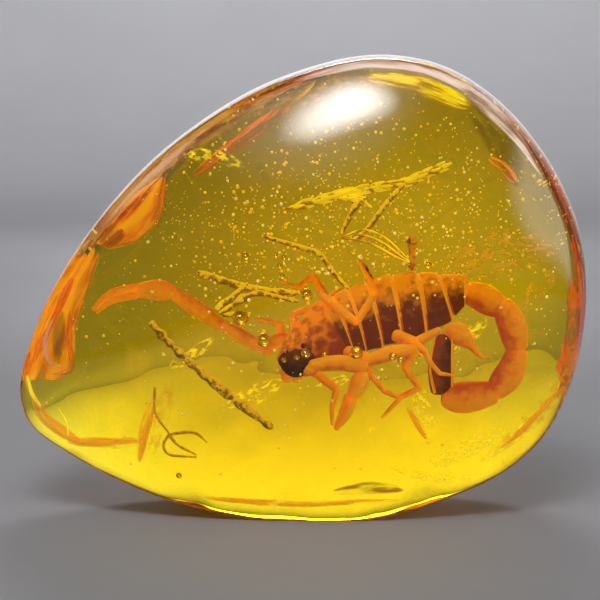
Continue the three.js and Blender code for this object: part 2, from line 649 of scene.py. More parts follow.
class Grown:
    """A mesh of closed skins, each extruded ring by ring along a path."""

    THINNEST = 0.02
    WOBBLE_LENGTH = 0.9 * MM
    END_REACHES = (0.55, 0.86, 0.99)

    def __init__(self) -> None:
        """Starts an empty mesh whose points know where they lie on their limb."""
        self.bm = bmesh.new()
        self.along = self.bm.verts.layers.float.new("along")
        self.across = self.bm.verts.layers.float.new("across")

    def skin(
        self,
        rings: Sequence[Ring],
        sides: int = 10,
        facing: Vector = TOWARDS_VIEWER,
        capped: bool = True,
        ridges: float = 0.0,
    ) -> None:
        """Adds one skin through the rings.

        Args:
            rings: the stations, from the first end to the last.
            sides: how many corners each ring has.
            facing: the direction of the depth axis, roughly across the path.
            capped: whether both ends are closed.
            ridges: how far every second corner stands out, as a share of the radius.
        """
        frames = self._frames(rings, facing)
        loop = bmesh.ops.create_circle(self.bm, segments=sides, radius=1, cap_ends=False)["verts"]
        for number, vert in enumerate(loop):
            vert[self.across] = vert.co.x
            vert.co *= 1 + ridges * (number % 2)
        edges = list({edge for vert in loop for edge in vert.link_edges})
        ends = [edges]
        bmesh.ops.transform(self.bm, matrix=frames[0], verts=loop)
        for number, (before, after) in enumerate(zip(frames, frames[1:]), start=1):
            grown = bmesh.ops.extrude_edge_only(self.bm, edges=edges)["geom"]
            loop = [item for item in grown if isinstance(item, bmesh.types.BMVert)]
            ring = set(loop)
            edges = [
                item
                for item in grown
                if isinstance(item, bmesh.types.BMEdge) and ring.issuperset(item.verts)
            ]
            bmesh.ops.transform(self.bm, matrix=after @ before.inverted(), verts=loop)
            for vert in loop:
                vert[self.along] = number / (len(frames) - 1)
        ends.append(edges)
        if capped:
            for end in ends:
                bmesh.ops.contextual_create(self.bm, geom=end)

    @staticmethod
    def _frames(rings: Sequence[Ring], facing: Vector) -> list[Matrix]:
        """The placement of a unit circle at each ring: x across, y in depth, z along the path."""
        frames = []
        for number, ring in enumerate(rings):
            before, after = rings[max(number - 1, 0)].at, rings[min(number + 1, len(rings) - 1)].at
            along = (after - before).normalized()
            across = facing.cross(along)
            if across.length < 0.1:
                across = Vector((0, 0, 1)).cross(along)
            across.normalize()
            depth = along.cross(across)
            turn = Matrix((across * ring.across, depth * ring.depth, along)).transposed()
            frames.append(Matrix.Translation(ring.at) @ turn.to_4x4())
        return frames

    def limb(
        self,
        path: Sequence[Vector],
        radii: Sequence[float],
        flat: float = 1.0,
        steps: int = 6,
        ends: tuple[float, float] = (0.6, 0.6),
        sides: int = 10,
        ridges: float = 0.0,
        facing: Vector = TOWARDS_VIEWER,
        wobble: float = 0.0,
    ) -> None:
        """Adds a round-ended limb along a smooth path.

        Args:
            path: points that the middle line runs through.
            radii: radii in millimetres, spread evenly along the path.
            flat: the depth as a share of the width.
            steps: how many stations lie between the ends.
            ends: how far each end bulges out, as a share of its radius.
            sides: how many corners each ring has.
            ridges: how far every second corner stands out.
            facing: the direction of the depth axis.
            wobble: how much the radius varies at random along the limb, as a share.
        """
        rings = []
        for number in range(steps + 1):
            share = number / steps
            radius = max(through(radii, share), self.THINNEST) * MM
            place = through(path, share)
            radius *= 1 + wobble * noise.noise(place / self.WOBBLE_LENGTH)
            rings.append(Ring(place, radius, radius * flat))
        first, last = rings[0], rings[-1]
        head = (first.at - rings[1].at).normalized()
        tail = (last.at - rings[-2].at).normalized()
        front, back = [], []
        for reach in self.END_REACHES:
            narrow = (1 - reach**2) ** 0.5
            for end, out, bulge, rest in ((first, head, ends[0], front), (last, tail, ends[1], back)):
                place = end.at + out * end.across * reach * bulge
                rest.append(Ring(place, end.across * narrow, end.depth * narrow))
        self.skin(front[::-1] + rings + back, sides, facing, ridges=ridges)

    def done(self, name: str, finish: bpy.types.Material, levels: int = 1) -> bpy.types.Object:
        """Closes the mesh as a piece, with its faces pointing outwards."""
        bmesh.ops.recalc_face_normals(self.bm, faces=self.bm.faces)
        shade_smooth(self.bm)
        return finished(name, self.bm, finish, levels)


# ---------------------------------------------------------------- the scorpion


class Tone(Enum):
    """The scorpion's finishes."""

    # On limbs and tail the dark colours are painted shade on the lower side; every finish also has a painted
    # glow.
    LIMB = Cuticle(
        "cuticle_limb", (1.0, 0.42, 0.012), (0.6, 0.13, 0.006), -1.5, 0.7, (0.5, 0.1, 0.005), 0.88,
        ragged=0.5,
    )
    PALE = Cuticle("cuticle_pale", (1.0, 0.46, 0.02), (0.8, 0.22, 0.01), -1.4, 0.8, glow=0.5, ragged=0.4)
    TRUNK = Cuticle("cuticle_trunk", (1.0, 0.42, 0.02), (0.5, 0.12, 0.008), -0.15, 0.45, ragged=0.4)
    SHIELD = Cuticle("cuticle_shield", (1.0, 0.4, 0.012), (0.26, 0.045, 0.005), -0.25, 1.5, ragged=0.55)
    PLATE = Cuticle(
        "cuticle_plate", (1.0, 0.42, 0.015), (0.15, 0.027, 0.004), 0.05, 1.3,
        border_from=0.86, glow=0.15, ragged=0.3,
    )
    TAIL = Cuticle(
        "cuticle_tail", (1.0, 0.38, 0.01), (0.55, 0.085, 0.005), -1.0, 0.7, (0.3, 0.045, 0.004), 0.9,
        ragged=0.45,
    )
    DARK = Cuticle("cuticle_dark", (0.3, 0.06, 0.006), (0.08, 0.016, 0.004), -0.9, 0.9, glow=0.05, ragged=0.5)
    BLACK = Cuticle(
        "cuticle_black", (0.14, 0.03, 0.004), (0.03, 0.008, 0.003), -0.8, 0.8, glow=0.0, roughness=0.15
    )


@dataclass(frozen=True)
class Plate:
    """A kind of thin plate over part of the trunk.

    Attributes:
        tone: its finish.
        low: how far its front edge stands off the trunk, in millimetres.
        high: the same at its rear edge, which overlaps the next plate.
        cut: where its side edges lie, as a share of the trunk's half thickness.
        gap: how much it is shorter than its stretch of the trunk, as a share of the trunk's length.
        side: 1 for the back, -1 for the belly.
    """

    tone: Tone
    low: float
    high: float
    cut: float
    gap: float = 0.0
    side: int = 1


@dataclass
class Scorpion:
    """One small scorpion, seen from above its back, with its tail curled at the right."""

    sight: Sight
    leg_flat: float = 0.8
    hand_flat: float = 0.85
    trunk_steps: int = 30
    plate_steps: int = 5
    plate_thickness: float = 0.16 * MM

    def __post_init__(self) -> None:
        """Builds the finishes once."""
        self.finish = {tone: tone.value.material() for tone in Tone}

    def build(self) -> None:
        """Builds every body part."""
        self._trunk()
        self._jaws()
        self._pincer_arms()
        self._legs()
        self._tail()

    def _limbs(self, name: str, tone: Tone, *limbs: tuple, **shape: object) -> bpy.types.Object:
        """Joins several limbs, each given by its (x, z, y) places and its radii, in one piece."""
        grown = Grown()
        for places, radii in limbs:
            grown.limb(self.sight.path(*places), radii, **shape)
        return grown.done(name, self.finish[tone])

    # The middle line of the trunk: seen place, depth, half width and half thickness.
    TRUNK_STATIONS = (
        (-2.3, 17.2, -7.2, 1.3, 0.9),
        (-1.2, 18.5, -7.0, 2.1, 1.5),
        (0.4, 20.0, -6.7, 2.9, 2.0),
        (2.4, 21.5, -6.3, 3.5, 2.4),
        (4.9, 22.8, -6.0, 3.8, 2.6),
        (7.8, 23.9, -5.7, 3.9, 2.7),
        (10.8, 24.8, -5.4, 4.0, 2.7),
        (13.8, 25.5, -5.1, 3.8, 2.5),
        (16.8, 26.2, -4.8, 3.1, 2.2),
        (19.2, 27.1, -4.6, 2.0, 1.7),
        (20.6, 27.2, -4.5, 1.3, 1.2),
    )
    # Where the back plates meet along the trunk, and where the back looks.
    BACK_EDGES = (0.36, 0.41, 0.47, 0.545, 0.635, 0.74, 0.845, 0.965)
    ROLL = Vector((0.16, -1.0, -0.38)).normalized()
    SHIELD = Plate(Tone.SHIELD, 0.14, 0.3, -0.1)
    BACK = Plate(Tone.PLATE, 0.12, 0.34, -0.25, 0.008)
    BELLY = Plate(Tone.LIMB, 0.1, 0.25, 0.35, 0.01, -1)

    def _trunk_ring(self, share: float, proud: float = 0.0) -> Ring:
        """The trunk's ring at this share of its length, this far outside its skin."""
        x, z, y, across, depth = through([Vector(s) for s in self.TRUNK_STATIONS], share)
        return Ring(self.sight.at(x, z, y), (across + proud) * MM, (depth + proud) * MM)

    def _trunk(self) -> None:
        """The soft trunk, the front shield, and the plates of back and belly."""
        core = Grown()
        shares = [step / self.trunk_steps for step in range(self.trunk_steps + 1)]
        core.skin([self._trunk_ring(share) for share in shares], 20, self.ROLL)
        core.done("scorpion_trunk", self.finish[Tone.TRUNK])
        self._plate("scorpion_shield", self.SHIELD, 0.02, 0.37)
        for name, plate, first in (("back", self.BACK, 0), ("belly", self.BELLY, 2)):
            edges = self.BACK_EDGES[first:]
            for number, (start, end) in enumerate(zip(edges, edges[1:]), start=1):
                self._plate(f"scorpion_{name}_plate_{number}", plate, start, end - plate.gap)

    def _plate(self, name: str, plate: Plate, start: float, end: float) -> None:
        """Makes a plate over the trunk from one share of its length to another."""
        grown = Grown()
        steps = self.plate_steps
        rings = []
        for number in range(steps + 1):
            share = number / steps
            rings.append(self._trunk_ring(lerp(start, end, share), lerp(plate.low, plate.high, share**1.5)))
        grown.skin(rings, 28, self.ROLL, capped=False)
        middle = rings[steps // 2]
        axis = (rings[-1].at - rings[0].at).normalized()
        out = (self.ROLL - axis * self.ROLL.dot(axis)).normalized() * plate.side
        bm = grown.bm
        bmesh.ops.bisect_plane(
            bm,
            geom=bm.verts[:] + bm.edges[:] + bm.faces[:],
            plane_co=middle.at + out * middle.depth * plate.cut,
            plane_no=out,
            clear_inner=True,
        )
        bmesh.ops.recalc_face_normals(bm, faces=bm.faces)
        inward = sum((f.normal.dot(f.calc_center_median() - middle.at) < 0) for f in bm.faces)
        if inward > len(bm.faces) / 2:
            bmesh.ops.reverse_faces(bm, faces=bm.faces)
        bmesh.ops.solidify(bm, geom=bm.faces[:], thickness=self.plate_thickness)
        grown.done(name, self.finish[plate.tone])

    def _jaws(self) -> None:
        """Two short jaws with their fingers, the dark brow above them, and the eyes."""
        at = self.sight.at
        for name, x in (("left", -1.9), ("right", -0.6)):
            grown = Grown()
            grown.limb([at(x, 17.6, -7.6), at(x - 0.1, 16.4, -7.8)], [0.7, 0.8, 0.6], steps=5)
            grown.limb([at(x - 0.3, 16.4, -7.9), at(x - 0.3, 15.8, -7.8)], [0.45, 0.2], steps=4)
            grown.limb([at(x + 0.2, 16.4, -7.9), at(x + 0.1, 15.8, -7.8)], [0.45, 0.2], steps=4)
            grown.done(f"scorpion_jaw_{name}", self.finish[Tone.LIMB])
        brow = Grown()
        brow.limb([at(-2.4, 18.6, -8.3), at(-0.9, 18.1, -9.0), at(0.8, 18.8, -8.6)], [0.9, 1.9, 1.2], 0.55, 8)
        brow.done("scorpion_brow", self.finish[Tone.BLACK])
        eyes = Grown()
        for x, z, y, radius in (
            (0.1, 20.3, -9.35, 0.3), (0.8, 19.8, -9.4, 0.3),
            (-2.6, 18.9, -8.8, 0.16), (-2.3, 19.3, -8.8, 0.16), (-1.9, 19.6, -8.8, 0.16),
            (0.5, 17.5, -9.3, 0.16), (0.9, 17.8, -9.3, 0.16), (1.2, 18.2, -9.3, 0.16),
        ):
            bmesh.ops.create_icosphere(
                eyes.bm, subdivisions=3, radius=radius * MM, matrix=Matrix.Translation(at(x, z, y))
            )
        eyes.done("scorpion_eyes", self.finish[Tone.BLACK], levels=0)

    # The segments of the pincer arms: name, places, radii, and the depth as a share of the width.
    ARMS = (
        ("far_hip", ((-0.6, 20.9, -5.6), (-3.0, 21.0, -5.4), (-4.2, 19.9, -5.0)), (0.8, 0.9, 0.75), 1.0),
        ("far_thigh", ((-4.1, 19.6, -5.0), (-7.0, 21.2, -4.6), (-9.9, 22.9, -4.0)), (0.6, 0.8, 0.7), 0.9),
        ("far_knee", ((-9.8, 22.7, -4.0), (-12.8, 24.8, -3.5), (-15.8, 26.7, -3.0)), (0.7, 1.05, 0.85), 0.9),
        ("near_hip", ((-0.6, 17.6, -8.4), (0.4, 17.3, -8.8), (1.4, 17.5, -9.0)), (0.8, 0.9, 0.8), 1.0),
        ("near_knee", ((1.2, 17.8, -9.2), (4.7, 18.2, -9.6), (7.7, 17.5, -9.6)), (0.75, 1.0, 0.8), 0.9),
    )

    def _pincer_arms(self) -> None:
        """The two arms that end in slender hands with two fingers."""
        for name, places, radii, flat in self.ARMS:
            self._limbs(f"scorpion_{name}", Tone.LIMB, (places, radii), flat=flat, steps=8)
        self._hand(
            "far",
            ((-15.9, 27.0, -3.0), (-18.4, 27.3, -2.9), (-21.2, 27.1, -2.7)), (0.75, 1.35, 1.1, 0.65),
            ((-20.6, 27.4, -2.8), (-23.6, 26.8, -2.6), (-25.9, 24.9, -2.5)),
            ((-20.6, 26.7, -3.0), (-23.4, 26.0, -2.9), (-25.5, 24.5, -2.6)),
        )
        self._hand(
            "near",
            ((7.5, 16.9, -9.6), (6.9, 15.2, -9.5), (6.1, 13.5, -9.3)), (0.7, 1.2, 1.0, 0.6),
            ((6.3, 13.8, -9.3), (5.5, 11.6, -9.1), (4.2, 9.8, -9.0)),
            ((5.8, 14.0, -9.0), (5.0, 11.9, -8.7), (4.1, 10.1, -8.8)),
        )

    def _hand(self, side: str, palm: tuple, widths: tuple, fixed: tuple, moving: tuple) -> None:
        """A hand with its fixed finger, and its moving finger beside it.

        Args:
            side: which arm it belongs to.
            palm: the (x, z, y) places along the palm.
            widths: the palm's radii in millimetres.
            fixed: the places along the fixed finger.
            moving: the places along the moving finger.
        """
        name, flat = f"scorpion_{side}", self.hand_flat
        self._limbs(f"{name}_hand", Tone.PALE, (palm, widths), (fixed, (0.72, 0.6, 0.3)), flat=flat, steps=9)
        self._limbs(f"{name}_moving_finger", Tone.PALE, (moving, (0.6, 0.46, 0.22)), flat=flat, steps=8)

    # Each leg: its name, and its segments from the hip outwards as places and radii.
    LEGS = (
        ("far_1", (
            (((0.6, 21.6, -5.5), (-0.9, 22.7, -4.8)), (0.75, 0.7)),
            (((-1.0, 22.7, -4.8), (-1.2, 24.2, -4.3)), (0.5, 0.55, 0.4)),
            (((-1.1, 24.3, -4.3), (1.1, 25.1, -4.0)), (0.35, 0.38, 0.3)),
            (((1.1, 25.1, -4.0), (3.0, 26.2, -3.2)), (0.3, 0.28, 0.2)),
            (((3.0, 26.2, -3.2), (4.6, 27.6, -2.6)), (0.2, 0.18, 0.08)),
        )),
        ("far_2", (
            (((-0.8, 20.6, -5.8), (-2.7, 21.4, -5.2)), (0.7, 0.6)),
            (((-2.8, 21.3, -5.2), (-2.7, 22.9, -4.6)), (0.5, 0.55, 0.42)),
            (((-2.7, 23.0, -4.6), (-4.4, 23.4, -4.0)), (0.34, 0.33, 0.28)),
            (((-4.4, 23.4, -4.0), (-5.9, 23.6, -3.4)), (0.26, 0.24, 0.12)),
        )),
        ("far_3", (
            (((4.0, 24.4, -5.2), (3.0, 26.3, -4.2)), (0.65, 0.6)),
            (((3.0, 26.2, -4.2), (1.3, 29.0, -3.2)), (0.48, 0.52, 0.4)),
            (((1.3, 29.0, -3.2), (-0.5, 27.6, -2.6)), (0.36, 0.36, 0.28)),
            (((-0.5, 27.6, -2.6), (-2.9, 28.4, -2.0)), (0.24, 0.2, 0.08)),
        )),
        ("far_4", (
            (((2.6, 26.4, -7.4), (3.6, 25.6, -8.6)), (0.5, 0.55)),
            (((3.4, 25.8, -8.6), (6.7, 23.2, -9.4)), (0.5, 0.6, 0.45)),
            (((6.7, 23.2, -9.4), (9.1, 27.0, -8.6)), (0.45, 0.5, 0.4)),
            (((9.1, 27.0, -8.6), (8.0, 29.0, -7.8)), (0.4, 0.38, 0.28)),
            (((8.0, 29.0, -7.8), (6.8, 31.0, -7.2)), (0.28, 0.24, 0.1)),
        )),
        ("near_1", (
            (((0.6, 17.8, -7.2), (1.8, 16.8, -7.8)), (0.7, 0.6)),
            (((1.6, 16.9, -7.8), (4.3, 14.8, -8.2)), (0.45, 0.55, 0.45)),
            (((4.3, 14.8, -8.2), (3.7, 12.5, -8.2)), (0.42, 0.42, 0.32)),
            (((3.7, 12.5, -8.2), (3.7, 10.3, -8.0)), (0.3, 0.26, 0.14)),
        )),
        ("near_2", (
            (((5.6, 19.6, -7.6), (8.0, 18.6, -8.6)), (0.8, 0.85)),
            (((8.0, 18.4, -9.0), (11.2, 19.4, -9.4), (14.0, 19.8, -9.2)), (0.75, 0.95, 0.9, 0.7)),
            (((14.0, 19.7, -9.2), (12.8, 17.5, -9.2)), (0.6, 0.65, 0.5)),
            (((12.8, 17.5, -9.2), (14.6, 15.0, -9.2)), (0.45, 0.45, 0.35)),
            (((14.6, 15.0, -9.2), (12.3, 13.8, -9.1)), (0.36, 0.36, 0.3)),
            (((12.3, 13.8, -9.1), (9.9, 11.2, -9.0)), (0.3, 0.28, 0.14)),
        )),
        ("near_3", (
            (((6.6, 18.4, -7.8), (8.4, 16.9, -8.4)), (0.7, 0.5)),
            (((8.3, 16.9, -8.4), (10.2, 14.6, -8.7)), (0.32, 0.36, 0.32)),
            (((10.2, 14.6, -8.7), (11.8, 13.9, -8.8)), (0.34, 0.34, 0.3)),
            (((11.8, 13.9, -8.8), (14.4, 15.0, -8.9)), (0.28, 0.26, 0.14)),
        )),
        ("near_4", (
            (((11.6, 21.6, -7.4), (14.2, 20.6, -8.2)), (0.8, 0.7)),
            (((14.0, 20.7, -8.2), (16.9, 22.3, -7.2)), (0.6, 0.55, 0.4)),
            (((14.2, 20.4, -8.3), (15.2, 19.6, -8.8)), (0.5, 0.45)),
            (((15.2, 19.6, -8.8), (16.0, 18.1, -8.9), (17.1, 16.8, -8.9)), (0.34, 0.32, 0.28)),
            (((17.1, 16.8, -8.9), (19.0, 16.5, -8.7)), (0.26, 0.22, 0.12)),
        )),
    )

    def _legs(self) -> None:
        """The eight walking legs."""
        for name, segments in self.LEGS:
            tone = Tone.PALE if name == "far_4" else Tone.LIMB
            self._limbs(f"scorpion_leg_{name}", tone, *segments, flat=self.leg_flat, steps=6)

    # Each tail segment: its places, radii and finish.
    TAIL = (
        (((20.2, 27.1, -4.5), (22.4, 26.3, -4.3), (24.5, 25.0, -4.2)), (1.2, 1.6, 1.7, 1.25), Tone.TAIL),
        (((24.7, 25.5, -4.2), (26.0, 22.9, -4.1), (26.7, 19.9, -4.1)), (1.25, 1.65, 1.75, 1.3), Tone.TAIL),
        (((26.7, 19.6, -4.1), (25.9, 17.0, -4.3), (24.0, 14.6, -4.5)), (1.3, 1.7, 1.85, 1.35), Tone.TAIL),
        (((24.0, 14.4, -4.6), (20.6, 13.8, -5.0), (17.8, 13.9, -5.3)), (1.35, 1.8, 1.85, 1.3), Tone.TAIL),
        (((17.3, 14.6, -5.4), (17.2, 18.0, -5.7), (17.7, 21.4, -5.9)), (1.25, 1.45, 1.3, 0.95), Tone.DARK),
    )

    def _tail(self) -> None:
        """Five ridged tail segments, the sting bulb and the sting."""
        for number, (places, radii, tone) in enumerate(self.TAIL, start=1):
            shape = {"steps": 9, "sides": 16, "ridges": 0.05, "ends": (0.35, 0.35)}
            self._limbs(f"scorpion_tail_{number}", tone, (places, radii), **shape)
        self._limbs(
            "scorpion_tail_keels", Tone.PALE,
            (((16.5, 14.4, -6.7), (15.9, 17.6, -7.0), (16.5, 21.4, -7.0)), (0.2, 0.14, 0.1)),
            (((18.7, 15.2, -6.7), (18.6, 18.0, -7.0), (18.6, 21.2, -7.0)), (0.18, 0.12, 0.1)),
            steps=12,
        )
        self._limbs(
            "scorpion_sting", Tone.LIMB,
            (((17.9, 22.3, -5.9), (19.4, 21.8, -6.0), (20.9, 20.5, -6.0)), (0.7, 1.35, 1.3, 0.7)),
            (((20.9, 20.4, -6.0), (21.9, 19.2, -6.0), (22.6, 18.8, -6.0), (23.4, 18.9, -6.0)),
             (0.5, 0.3, 0.16, 0.05)),
            steps=9,
        )


# ---------------------------------------------------------------- flow marks and painted light in the resin


class Stain(Enum):
    """The cloudy finishes of the marks: light and dark colour, and how dense. PALE paints sheen, ROSE
    reflections, YELLOW glints and glow, and CRUMPLE glints; each has a painted glow.
    """

    ORANGE = FlowFinish("flow_orange", (1.0, 0.42, 0.015), (0.9, 0.16, 0.008), 0.9, gaps=0.45)
    FLAME = FlowFinish("flow_flame", (1.0, 0.45, 0.015), (0.85, 0.15, 0.008), 0.9, 0.45, 0.0012, 6, 0.15, 0.5)
    EMBER = FlowFinish("flow_ember", (0.85, 0.2, 0.015), (0.4, 0.07, 0.006), 0.85, gaps=0.6)
    BROWN = FlowFinish("flow_brown", (0.5, 0.14, 0.012), (0.16, 0.035, 0.004), 0.85, 0.15, edge=1.0)
    ROSE = FlowFinish("flow_rose_painted_reflection", (0.8, 0.56, 0.5), (0.75, 0.3, 0.14), 0.6, 0.3)
    PALE = FlowFinish("flow_painted_sheen", (0.9, 0.74, 0.72), (0.8, 0.56, 0.5), 0.95, 0.5, 0.0016, 9.0, 0.3, 1.0)
    YELLOW = FlowFinish("flow_yellow_painted_light", (1.0, 0.9, 0.06), (1.0, 0.66, 0.02), 0.85, 0.7, edge=1.0)
    CLOUD = FlowFinish("flow_cloud", (1.0, 0.5, 0.1), (0.9, 0.3, 0.03), 0.4, 0.3, 0.0008, 1.8, 0.9, 1.0)
    OLIVE = FlowFinish("flow_olive", (0.25, 0.2, 0.02), (0.12, 0.09, 0.01), 0.6, 0.1, 0.0015, 4.0, 0.3, 1.0)
    CRUMPLE = FlowFinish("flow_crumple_painted_glint", (1.0, 0.88, 0.08), (0.85, 0.5, 0.02), 0.7, 0.6, 0.0006, 1.5, 1, 1)


@dataclass(frozen=True)
class FlowMark:
    """A thin cloudy layer between two edges.

    Attributes:
        name: its name.
        stain: its finish.
        y: its depth in millimetres.
        edge: the (x, z) places in millimetres where one edge is seen.
        other: the same for the other edge.
        taper: how much it narrows towards both ends, from 0 to 1.
        bulge: how far its middle stands forward of its edges, in millimetres.
        margin: how deep under the resin's surface it stays.
    """

    name: str
    stain: Stain
    y: float
    edge: tuple[Place, ...]
    other: tuple[Place, ...]
    taper: float = 0.0
    bulge: float = 0.8
    margin: float = 0.25 * MM

    @classmethod
    def band(cls, name: str, stain: Stain, y: float, half: float, *middle: Place) -> "FlowMark":
        """A tapering mark along a middle line, given half its width and its (x, z) places in millimetres."""
        line = [Vector(place) for place in middle]
        edge, other = [], []
        for k, place in enumerate(line):
            along = (line[min(k + 1, len(line) - 1)] - line[max(k - 1, 0)]).normalized()
            across = Vector((-along.y, along.x)) * half
            edge.append(tuple(place + across))
            other.append(tuple(place - across))
        return cls(name, stain, y, tuple(edge), tuple(other), 1.0)

    def build(self, sight: Sight, finish: bpy.types.Material, steps: int = 36, rows: int = 14) -> None:
        """Makes the layer from a grid of steps along it and rows across it, drawn between the edges."""
        bm = bmesh.new()
        fade = bm.verts.layers.float.new("fade")
        along = bm.verts.layers.float.new("along")
        across = bm.verts.layers.float.new("across")
        bmesh.ops.create_grid(bm, x_segments=steps, y_segments=rows, size=1)
        one = [Vector(place) for place in self.edge]
        two = [Vector(place) for place in self.other]
        length = sum((b - a).length for a, b in zip(one, one[1:])) * MM
        width = (one[len(one) // 2] - two[len(two) // 2]).length * MM
        for vert in bm.verts:
            s, t = (vert.co.x + 1) / 2, (vert.co.y + 1) / 2
            fullness = (4 * s * (1 - s)) ** 0.5
            place = through(one, s).lerp(through(two, s), 0.5 + (t - 0.5) * lerp(1.0, fullness, self.taper))
            middle = 4 * t * (1 - t)
            vert[fade] = middle * fullness
            vert[along] = s * length + one[0].x * MM
            vert[across] = t * width
            vert.co = sight.kept_inside(sight.at(place.x, place.y, self.y - self.bulge * middle), self.margin)
        bmesh.ops.recalc_face_normals(bm, faces=bm.faces)
        if sum(face.normal.y for face in bm.faces) > 0:
            bmesh.ops.reverse_faces(bm, faces=bm.faces)
        shade_smooth(bm)
        finished(f"flow_mark_{self.name}", bm, finish)


